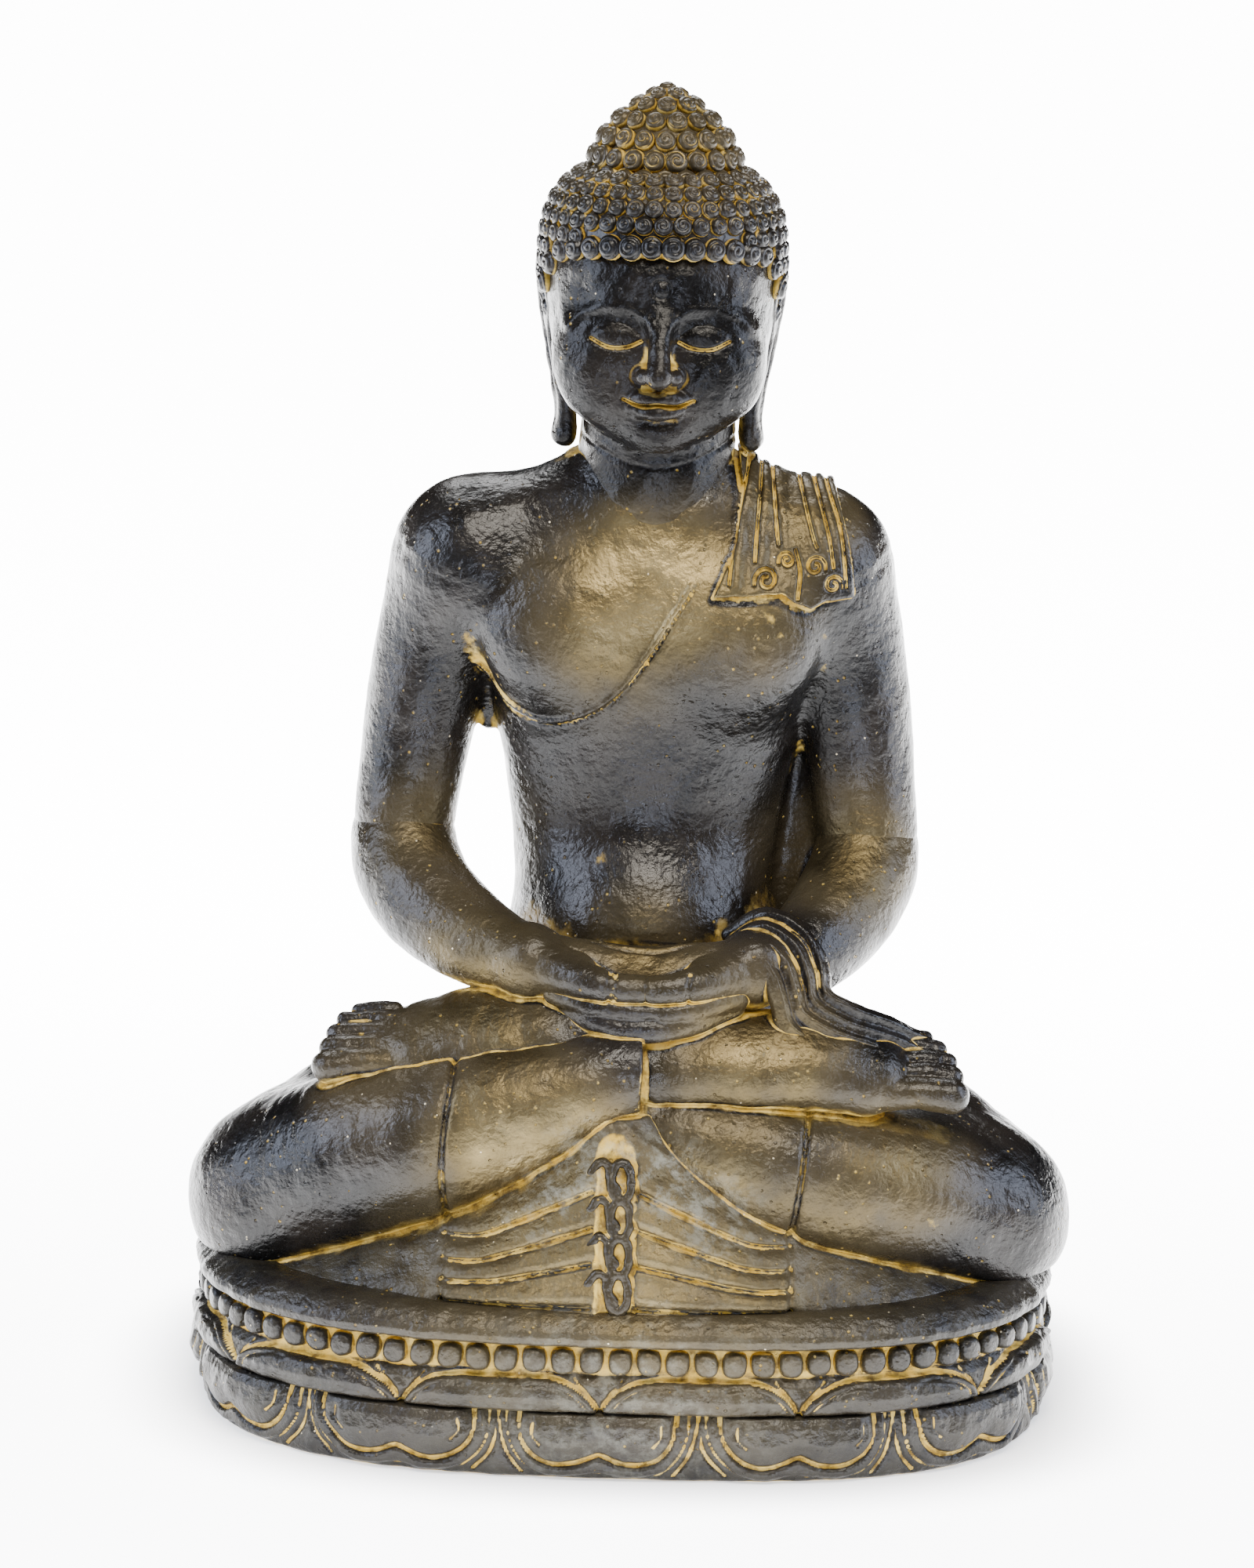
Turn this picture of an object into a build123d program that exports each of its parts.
"""Seated meditating Buddha statue in cast stone, in millimetres.

The frame has +Z up, the statue faces -Y, and +X is the statue's own left. The origin is the
middle of the footprint, on the ground. Right and left are the statue's own, so right is -X.

The figure is made of cast sections that stand on a double lotus base. The sections meet on
casting joints, are bedded in mortar and are tied by steel bars that are cast into them.
"""

import os
from math import cos, pi, radians, sin

from build123d import *

# ---- driving dimensions -------------------------------------------------------------------------
HEIGHT = 800.0  # ground to the tip of the crown

# the lotus base, whose plan is a superellipse
BASE_HALF_WIDTH = 263.0
BASE_HALF_DEPTH = 196.0
BASE_SQUARENESS = 2.6
LOWER_TOP = 41.0  # top of the lower petal tier
BED = 2.0  # thickness of a mortar bed
BASE_TOP = 98.0  # top of the seat
BAND_BOTTOM = 64.5  # the recessed band that the beads sit on
BAND_TOP = 84.0
BAND_INSET = 9.5
RING_WALL = 44.0  # wall of the base, and so the width of its foot
SEAT_ROOF = 22.0  # stone left over the hollow of the base
BEAD_R = 9.2
BEAD_PROUD = 9.0
BEAD_PITCH = 15.8
CORE_R = 38.0  # casting core in the lap and the torso
CORE_HEIGHT = 220.0  # of the core in the torso
LAP_ROOF = 34.0  # stone left over the core in the lap
PLAN_POINTS = 40  # that the plan's spline runs through

# levels of the casting joints of the figure
LAP_BOTTOM = BASE_TOP + BED
LAP_TOP = 230.0
TORSO_TOP = 566.0
SHOULDER_JOINT = 100.0  # distance of the shoulder joints from the middle

# the middle of the right limbs as (x, y, z), with their radii; the left arm mirrors the right one
SHOULDER = (-102.0, 18.0, 504.0)
MID_ARM = (-131.0, 22.0, 426.0)
ELBOW = (-140.0, 8.0, 340.0)
WRIST = (-66.0, -84.0, 281.0)
UPPER_ARM_RADII = (48.0, 34.0, 33.0)
FOREARM_RADII = (33.0, 22.0)
HIP = (-92.0, 34.0, 156.0)
KNEE = (-212.0, -52.0, 126.0)
THIGH_RADII = (62.0, 54.0)
RIGHT_SHIN = (KNEE, (-112.0, -106.0, 168.0), (-18.0, -120.0, 222.0))
RIGHT_SHIN_RADII = (54.0, 44.0, 27.0)
LEFT_SHIN = ((212.0, -52.0, 126.0), (104.0, -108.0, 150.0), (20.0, -110.0, 186.0))
LEFT_SHIN_RADII = (53.0, 41.0, 28.0)
RIGHT_FOOT = ((8.0, -114.0, 228.0), (96.0, -104.0, 230.0), (172.0, -92.0, 222.0))
LEFT_FOOT = ((-30.0, -84.0, 232.0), (-104.0, -88.0, 226.0), (-172.0, -82.0, 218.0))
FOOT_RADII = (24.0, 24.0, 17.0)
SLEEVE = ((84.0, -70.0, 284.0), (112.0, -76.0, 264.0), (160.0, -70.0, 236.0))
SLEEVE_RADII = (27.0, 24.0, 15.0)
# the hands as (middle, half length, half width, thickness)
LEFT_HAND = ((-4.0, -108.0, 252.0), 54.0, 34.0, 20.0)
RIGHT_HAND = ((4.0, -100.0, 272.0), 60.0, 34.0, 24.0)

# sections of the lap and the torso as (height, middle in y, half width, half depth)
LAP_SECTIONS = [
    (LAP_BOTTOM, 6.0, 168.0, 124.0),
    (150.0, 8.0, 152.0, 118.0),
    (200.0, 14.0, 116.0, 92.0),
    (LAP_TOP, 20.0, 94.0, 72.0),
]
TORSO_SECTIONS = [
    (LAP_TOP + BED, 20.0, 94.0, 72.0),
    (290.0, 24.0, 83.0, 63.0),
    (350.0, 25.0, 83.0, 63.0),
    (410.0, 24.0, 92.0, 68.0),
    (470.0, 21.0, 101.0, 72.0),
    (520.0, 19.0, 96.0, 64.0),
    (548.0, 17.0, 66.0, 50.0),
    (TORSO_TOP, 16.0, 47.0, 43.0),
]

HEAD_MIDDLE = (0.0, 2.0, 666.0)
HEAD_SIZE = (62.0, 72.0, 82.0)  # half sizes of the skull and face
NECK_R = 42.0
NECK_LENGTH = 60.0
HAIR_MIDDLE = (0.0, 10.0, 688.0)
HAIR_SIZE = (71.0, 78.0, 63.0)
HAIRLINE = 706.0  # height of the hair's edge over the forehead
HAIR_TILT = 32.0  # degrees that the hair's edge drops towards the nape
CROWN_R = 48.0
CROWN_PROFILE = [(CROWN_R, 730.0), (43.2, 756.0), (23.0, 782.0), (0.0, HEIGHT)]  # as (radius, z)
URNA = (0.0, -66.0, 690.0)
URNA_R = 5.5
EAR = ((-64.0, 14.0, 674.0), (-60.0, 11.0, 636.0), (-53.0, 8.0, 594.0))
EAR_RADII = (11.0, 8.5, 9.5)
BRAID_TOP = (-12.0, -155.0, 180.0)
BRAID_FOOT = (-12.0, -175.0, 112.0)
BRAID_KNOTS = 6
BRAID_KNOT = (7.0, 7.0, 8.0)  # half sizes of a knot
SASH_THICK = 7.0
SASH_OUTLINE = [(38, 499), (50, 533), (54, 590), (90, 590), (106, 560), (112, 499)]  # as (x, z)
WEB_OUTLINE = [(8, 322), (32, 322), (40, 452), (16, 452)]  # as (y, z)
WEB_START = 72.0  # distance of the web's inner side from the middle
WEB_LENGTH = 44.0
# the robe's front as (height, middle in x, middle in y, half width, half depth)
APRON_FOOT = (LAP_BOTTOM, -10.0, -112.0, 112.0, 66.0)
APRON_TOP = (204.0, -12.0, -122.0, 20.0, 26.0)

SPINE_Y = 16.0
SPINE_BOTTOM = 186.0
SPINE_LENGTH = 460.0
BAR_R = 6.0
SHOULDER_DOWEL_R = 5.0
ELBOW_DOWEL_R = 4.0
DOWEL_LENGTH = 44.0
SEAT_BAR_R = 4.0
LONG_BAR = (420.0, 70.0, 15.0)  # length, distance from the middle, depth under the seat
CROSS_BAR = (280.0, 120.0, 6.8)
MORTAR_INSET = 3.0  # of the beds at the waist and the neck

os.makedirs("parts", exist_ok=True)


# ---- helpers ------------------------------------------------------------------------------------
def mirrored(point):
    return (-point[0], point[1], point[2])


def plan_point(angle, inset):
    """A point of the base's plan, worked out from the superellipse's formula."""
    x = abs(cos(angle)) ** (2 / BASE_SQUARENESS) * (BASE_HALF_WIDTH - inset)
    y = abs(sin(angle)) ** (2 / BASE_SQUARENESS) * (BASE_HALF_DEPTH - inset)
    return (x if cos(angle) > 0 else -x, y if sin(angle) > 0 else -y)


def plan(inset):
    """The face inside the base's plan, drawn smaller by the inset."""
    with BuildSketch() as face:
        with BuildLine():
            angles = [2 * pi * (i + 0.5) / PLAN_POINTS for i in range(PLAN_POINTS)]
            Spline([plan_point(angle, inset) for angle in angles], periodic=True)
        make_face()
    return face.sketch


def tier(levels):
    """A solid lofted through plans; the levels are (height, inset from the base's plan)."""
    with BuildPart() as made:
        for height, inset in levels:
            with BuildSketch(Plane.XY.offset(height)):
                add(plan(inset))
        loft(ruled=True)
    return made.part


def around_base(inset, height, pitch):
    """Evenly spaced planes round the base's plan, facing outwards."""
    outline = plan(inset).edges()[0]
    count = round(outline.length / pitch)
    planes = []
    for n in range(count):
        spot = outline.position_at((n + 0.5) / count)
        outwards = outline.tangent_at((n + 0.5) / count).cross(Vector(0, 0, 1))
        if outwards.dot(spot) < 0:
            outwards = outwards * -1
        planes.append(Plane(origin=(spot.X, spot.Y, height), z_dir=outwards))
    return planes


def stack(sections):
    """A solid lofted through level ellipses."""
    with BuildPart() as made:
        for height, middle, half_width, half_depth in sections:
            with BuildSketch(Plane.XY.offset(height)):
                with Locations((0, middle)):
                    Ellipse(half_width, half_depth)
        loft()
    return made.part


def limb(points, radii):
    """Balls at the points, joined by cones that touch them: an arm, a leg or a foot."""
    with BuildPart() as made:
        for a, b, ra, rb in zip(points, points[1:], radii, radii[1:]):
            axis = Vector(*b) - Vector(*a)
            lean = (ra - rb) / axis.length
            rise = (1 - lean * lean) ** 0.5
            half = cos(pi / 4)
            with BuildSketch(Plane(origin=a, x_dir=axis, z_dir=axis.cross(Vector(0.3, 0.2, 0.9)))):
                with BuildLine():
                    ThreePointArc((-ra, 0), (-ra * half, ra * half), (ra * lean, ra * rise))
                    Line((ra * lean, ra * rise), (axis.length + rb * lean, rb * rise))
                    ThreePointArc(
                        (axis.length + rb * lean, rb * rise),
                        (axis.length + rb * half, rb * half),
                        (axis.length + rb, 0),
                    )
                    Line((axis.length + rb, 0), (-ra, 0))
                make_face()
            revolve(axis=Axis(a, axis))
    return made.part


def torso_form(grown):
    """The chest and the shoulders, larger all round by the amount grown."""
    radius = UPPER_ARM_RADII[0] + grown
    with BuildPart() as made:
        add(stack([(z, y, a + grown, b + grown) for z, y, a, b in TORSO_SECTIONS]))
        add(limb((SHOULDER, mirrored(SHOULDER)), (radius, radius)))
    return made.part


def hand(middle, half_length, half_width, thickness):
    """A flat hand with rounded edges, lying level; the middle is that of its palm's face."""
    with BuildPart() as made:
        with BuildSketch(Plane(origin=middle)):
            Ellipse(half_length, half_width)
        extrude(amount=thickness)
        fillet(made.edges(), thickness * 0.4)
    return made.part


def ellipsoid(middle, half_sizes):
    with BuildPart() as ball:
        Sphere(1)
    return Pos(*middle) * scale(ball.part, by=half_sizes, mode=Mode.PRIVATE)


def dowel(middle, along, length, radius):
    """A straight round bar, half of it on each side of its middle."""
    axis = Vector(*along).normalized()
    with BuildPart() as made:
        with BuildSketch(Plane(origin=Vector(*middle) - axis * (length / 2), z_dir=axis)):
            Circle(radius)
        extrude(amount=length)
    return made.part


# ---- steel bars that tie the castings -----------------------------------------------------------
with BuildPart() as spine_bar:
    with BuildSketch(Plane.XY.offset(SPINE_BOTTOM)):
        with Locations((0, SPINE_Y)):
            Circle(BAR_R)
    extrude(amount=SPINE_LENGTH)

# the fold of an elbow lies square to the mean direction of the two bones
upper_bone = (Vector(*ELBOW) - Vector(*MID_ARM)).normalized()
lower_bone = (Vector(*WRIST) - Vector(*ELBOW)).normalized()
elbow_fold = upper_bone + lower_bone
RIGHT_ELBOW_PLANE = Plane(origin=ELBOW, z_dir=elbow_fold)
LEFT_ELBOW_PLANE = Plane(origin=mirrored(ELBOW), z_dir=(-elbow_fold.X, elbow_fold.Y, elbow_fold.Z))

with BuildPart() as shoulder_dowels:
    for side in (-1, 1):
        middle = (side * SHOULDER_JOINT, SHOULDER[1], SHOULDER[2])
        add(dowel(middle, (1, 0, 0), DOWEL_LENGTH, SHOULDER_DOWEL_R))

with BuildPart() as elbow_dowels:
    for fold in (RIGHT_ELBOW_PLANE, LEFT_ELBOW_PLANE):
        add(dowel(fold.origin, fold.z_dir, DOWEL_LENGTH, ELBOW_DOWEL_R))

# two long bars lie under two cross bars in the roof of the base
with BuildPart() as seat_bars:
    for plane, (length, apart, depth) in ((Plane.YZ, LONG_BAR), (Plane.XZ, CROSS_BAR)):
        with BuildSketch(plane.offset(-length / 2)):
            with Locations((-apart, BASE_TOP - depth), (apart, BASE_TOP - depth)):
                Circle(SEAT_BAR_R)
        extrude(amount=length)

# ---- the double lotus base ----------------------------------------------------------------------
with BuildPart() as lower_lotus:
    add(tier([(0, 15), (10, 6), (24, 3), (34, 4), (LOWER_TOP, 8)]))
    with BuildSketch(Plane.XY):
        add(plan(RING_WALL + 8))
    extrude(amount=LOWER_TOP, mode=Mode.SUBTRACT)

with BuildPart() as base_mortar:
    with BuildSketch(Plane.XY.offset(LOWER_TOP)):
        add(plan(12))
        add(plan(RING_WALL + 6), mode=Mode.SUBTRACT)
    extrude(amount=BED)

with BuildPart() as upper_lotus:
    add(tier([(LOWER_TOP + BED, 8), (52, 3), (60, 2), (BAND_BOTTOM, 4)]))
    with BuildSketch(Plane.XY.offset(BAND_BOTTOM)):
        add(plan(BAND_INSET))
    extrude(amount=BAND_TOP - BAND_BOTTOM)
    add(tier([(BAND_TOP, 3), (86, 1), (94, 1), (BASE_TOP, 4)]))
    with BuildSketch(Plane.XY.offset(LOWER_TOP + BED)):
        add(plan(RING_WALL + 8))
    extrude(amount=BASE_TOP - SEAT_ROOF - LOWER_TOP - BED, mode=Mode.SUBTRACT)
    add(seat_bars.part, mode=Mode.SUBTRACT)

with BuildPart() as bead:
    with BuildSketch(Plane.XZ):
        with BuildLine():
            ThreePointArc((0, BEAD_PROUD), (BEAD_R * 0.69, BEAD_PROUD * 0.69), (BEAD_R * 0.84, 0))
            Polyline((BEAD_R * 0.84, 0), (0, 0), (0, BEAD_PROUD))
        make_face()
    revolve(axis=Axis.Z)

with BuildPart() as bead_row:
    with Locations(*around_base(BAND_INSET, (BAND_BOTTOM + BAND_TOP) / 2, BEAD_PITCH)):
        add(bead.part)

with BuildPart() as seat_mortar:
    with BuildSketch(Plane.XY.offset(BASE_TOP)):
        add(plan(14))
    extrude(amount=BED)

# ---- the lap and the legs -----------------------------------------------------------------------
with BuildPart() as lap:
    add(stack(LAP_SECTIONS))
    with BuildSketch(Plane.XY.offset(LAP_BOTTOM)):
        with Locations((0, SPINE_Y)):
            Circle(CORE_R)
    extrude(amount=LAP_TOP - LAP_ROOF - LAP_BOTTOM, mode=Mode.SUBTRACT)
    add(spine_bar.part, mode=Mode.SUBTRACT)

with BuildPart() as right_leg:
    add(limb((HIP, KNEE), THIGH_RADII))
    add(limb(RIGHT_SHIN, RIGHT_SHIN_RADII))
    split(bisect_by=Plane.XY.offset(LAP_BOTTOM), keep=Keep.TOP)
    add(stack(LAP_SECTIONS), mode=Mode.SUBTRACT)

with BuildPart() as left_leg:
    add(limb((mirrored(HIP), mirrored(KNEE)), THIGH_RADII))
    add(limb(LEFT_SHIN, LEFT_SHIN_RADII))
    split(bisect_by=Plane.XY.offset(LAP_BOTTOM), keep=Keep.TOP)
    add(stack(LAP_SECTIONS), mode=Mode.SUBTRACT)
    add(right_leg.part, mode=Mode.SUBTRACT)

with BuildPart() as left_foot:
    add(limb(LEFT_FOOT, FOOT_RADII))
    for neighbour in (lap, right_leg, left_leg):
        add(neighbour.part, mode=Mode.SUBTRACT)

with BuildPart() as right_foot:
    add(limb(RIGHT_FOOT, FOOT_RADII))
    for neighbour in (lap, right_leg, left_leg, left_foot):
        add(neighbour.part, mode=Mode.SUBTRACT)

# the robe's pleated front, a half cone that spreads over the seat
with BuildPart() as robe_apron:
    for height, middle_x, middle_y, half_width, half_depth in (APRON_FOOT, APRON_TOP):
        with BuildSketch(Plane.XY.offset(height)):
            with Locations((middle_x, middle_y)):
                Ellipse(half_width, half_depth)
    loft()
    for neighbour in (lap, right_leg, left_leg, right_foot, left_foot):
        add(neighbour.part, mode=Mode.SUBTRACT)

# a chain of knots runs down the middle of the fan
with BuildPart() as apron_braid:
    for n in range(BRAID_KNOTS):
        along = n / (BRAID_KNOTS - 1)
        middle = [a + (b - a) * along for a, b in zip(BRAID_TOP, BRAID_FOOT)]
        add(ellipsoid(middle, BRAID_KNOT))
    for neighbour in (robe_apron, right_leg, left_leg, right_foot, left_foot):
        add(neighbour.part, mode=Mode.SUBTRACT)

# ---- the torso ----------------------------------------------------------------------------------
with BuildPart() as waist_mortar:
    with BuildSketch(Plane.XY.offset(LAP_TOP)):
        with Locations((0, LAP_SECTIONS[-1][1])):
            Ellipse(LAP_SECTIONS[-1][2] - MORTAR_INSET, LAP_SECTIONS[-1][3] - MORTAR_INSET)
        with Locations((0, SPINE_Y)):
            Circle(BAR_R, mode=Mode.SUBTRACT)
    extrude(amount=BED)

with BuildPart() as torso:
    add(torso_form(0))
    split(bisect_by=Plane.YZ.offset(-SHOULDER_JOINT), keep=Keep.TOP)
    split(bisect_by=Plane.YZ.offset(SHOULDER_JOINT), keep=Keep.BOTTOM)
    with BuildSketch(Plane.XY.offset(LAP_TOP + BED)):
        with Locations((0, SPINE_Y)):
            Circle(CORE_R)
    extrude(amount=CORE_HEIGHT, mode=Mode.SUBTRACT)
    for bar in (spine_bar, shoulder_dowels):
        add(bar.part, mode=Mode.SUBTRACT)

# ---- the arms -----------------------------------------------------------------------------------
with BuildPart() as right_upper_arm:
    add(limb((SHOULDER, MID_ARM, ELBOW), UPPER_ARM_RADII))
    split(bisect_by=Plane.YZ.offset(-SHOULDER_JOINT), keep=Keep.BOTTOM)
    split(bisect_by=RIGHT_ELBOW_PLANE, keep=Keep.BOTTOM)
    for bar in (shoulder_dowels, elbow_dowels):
        add(bar.part, mode=Mode.SUBTRACT)

with BuildPart() as left_upper_arm:
    add(right_upper_arm.part)
    mirror(about=Plane.YZ, mode=Mode.REPLACE)

with BuildPart() as right_forearm:
    add(limb((ELBOW, WRIST), FOREARM_RADII))
    split(bisect_by=RIGHT_ELBOW_PLANE, keep=Keep.TOP)
    for neighbour in (elbow_dowels, torso):
        add(neighbour.part, mode=Mode.SUBTRACT)

with BuildPart() as left_forearm:
    add(right_forearm.part)
    mirror(about=Plane.YZ, mode=Mode.REPLACE)

# the left hand lies in the lap with its palm up, and the right hand lies in it
with BuildPart() as left_hand:
    add(hand(*LEFT_HAND))
    for neighbour in (left_forearm, right_forearm, lap, right_leg, left_leg, right_foot, left_foot):
        add(neighbour.part, mode=Mode.SUBTRACT)

with BuildPart() as right_hand:
    add(hand(*RIGHT_HAND))
    for neighbour in (left_forearm, right_forearm):
        add(neighbour.part, mode=Mode.SUBTRACT)

# ---- the robe where it stands off the body ------------------------------------------------------
with BuildPart() as sleeve_fall:
    add(limb(SLEEVE, SLEEVE_RADII))
    for neighbour in (left_forearm, left_hand, right_hand, left_leg, right_foot, lap):
        add(neighbour.part, mode=Mode.SUBTRACT)

# the sash is a layer of cloth that follows the chest, over the shoulder and down the back
with BuildPart() as shoulder_sash:
    add(torso_form(SASH_THICK))
    with BuildSketch(Plane.XZ.offset(-150)):
        with BuildLine():
            Polyline(*SASH_OUTLINE, close=True)
        make_face()
    extrude(amount=300, mode=Mode.INTERSECT)
    for neighbour in (torso, left_upper_arm, shoulder_dowels):
        add(neighbour.part, mode=Mode.SUBTRACT)

with BuildPart() as robe_web:
    with BuildSketch(Plane.YZ.offset(WEB_START)):
        with BuildLine():
            Polyline(*WEB_OUTLINE, close=True)
        make_face()
    extrude(amount=WEB_LENGTH)
    for neighbour in (torso, left_upper_arm, left_forearm, elbow_dowels):
        add(neighbour.part, mode=Mode.SUBTRACT)

# ---- the head -----------------------------------------------------------------------------------
hair_edge = Plane(
    origin=(0, HEAD_MIDDLE[1] - HEAD_SIZE[1] + 8, HAIRLINE),
    z_dir=(0, sin(radians(HAIR_TILT)), cos(radians(HAIR_TILT))),
)

with BuildPart() as neck_mortar:
    with BuildSketch(Plane.XY.offset(TORSO_TOP)):
        with Locations((0, SPINE_Y)):
            Circle(NECK_R - MORTAR_INSET)
            Circle(BAR_R, mode=Mode.SUBTRACT)
    extrude(amount=BED)

with BuildPart() as head:
    with BuildSketch(Plane.XY.offset(TORSO_TOP + BED)):
        with Locations((0, SPINE_Y)):
            Circle(NECK_R)
    extrude(amount=NECK_LENGTH)
    add(ellipsoid(HEAD_MIDDLE, HEAD_SIZE))
    split(bisect_by=hair_edge, keep=Keep.BOTTOM)
    add(spine_bar.part, mode=Mode.SUBTRACT)

with BuildPart() as hair_cap:
    add(ellipsoid(HAIR_MIDDLE, HAIR_SIZE))
    split(bisect_by=hair_edge, keep=Keep.TOP)
    for neighbour in (head, spine_bar):
        add(neighbour.part, mode=Mode.SUBTRACT)

with BuildPart() as crown:
    with BuildSketch(Plane(origin=(0, HAIR_MIDDLE[1], 0), x_dir=(1, 0, 0), z_dir=(0, -1, 0))):
        with BuildLine():
            Spline(*CROWN_PROFILE, tangents=((0, 1), (-0.6, 0.8)))
            Polyline((0, HEIGHT), (0, CROWN_PROFILE[0][1]), CROWN_PROFILE[0])
        make_face()
    revolve(axis=Axis((0, HAIR_MIDDLE[1], 0), (0, 0, 1)))
    add(hair_cap.part, mode=Mode.SUBTRACT)

with BuildPart() as right_ear:
    add(limb(EAR, EAR_RADII))
    for neighbour in (head, hair_cap):
        add(neighbour.part, mode=Mode.SUBTRACT)

with BuildPart() as left_ear:
    add(limb([mirrored(point) for point in EAR], EAR_RADII))
    for neighbour in (head, hair_cap):
        add(neighbour.part, mode=Mode.SUBTRACT)

with BuildPart() as urna:
    with Locations(URNA):
        Sphere(URNA_R)
    for neighbour in (head, hair_cap):
        add(neighbour.part, mode=Mode.SUBTRACT)

# ---- write the pieces ---------------------------------------------------------------------------
pieces = {
    "lower_lotus": lower_lotus,
    "base_mortar": base_mortar,
    "upper_lotus": upper_lotus,
    "bead_row": bead_row,
    "seat_bars": seat_bars,
    "seat_mortar": seat_mortar,
    "lap": lap,
    "right_leg": right_leg,
    "left_leg": left_leg,
    "right_foot": right_foot,
    "left_foot": left_foot,
    "robe_apron": robe_apron,
    "apron_braid": apron_braid,
    "waist_mortar": waist_mortar,
    "torso": torso,
    "right_upper_arm": right_upper_arm,
    "left_upper_arm": left_upper_arm,
    "right_forearm": right_forearm,
    "left_forearm": left_forearm,
    "right_hand": right_hand,
    "left_hand": left_hand,
    "sleeve_fall": sleeve_fall,
    "shoulder_sash": shoulder_sash,
    "robe_web": robe_web,
    "neck_mortar": neck_mortar,
    "head": head,
    "hair_cap": hair_cap,
    "crown": crown,
    "right_ear": right_ear,
    "left_ear": left_ear,
    "urna": urna,
    "spine_bar": spine_bar,
    "shoulder_dowels": shoulder_dowels,
    "elbow_dowels": elbow_dowels,
}
for name, piece in pieces.items():
    piece.part.label = name
    export_step(piece.part, f"parts/{name}.step")
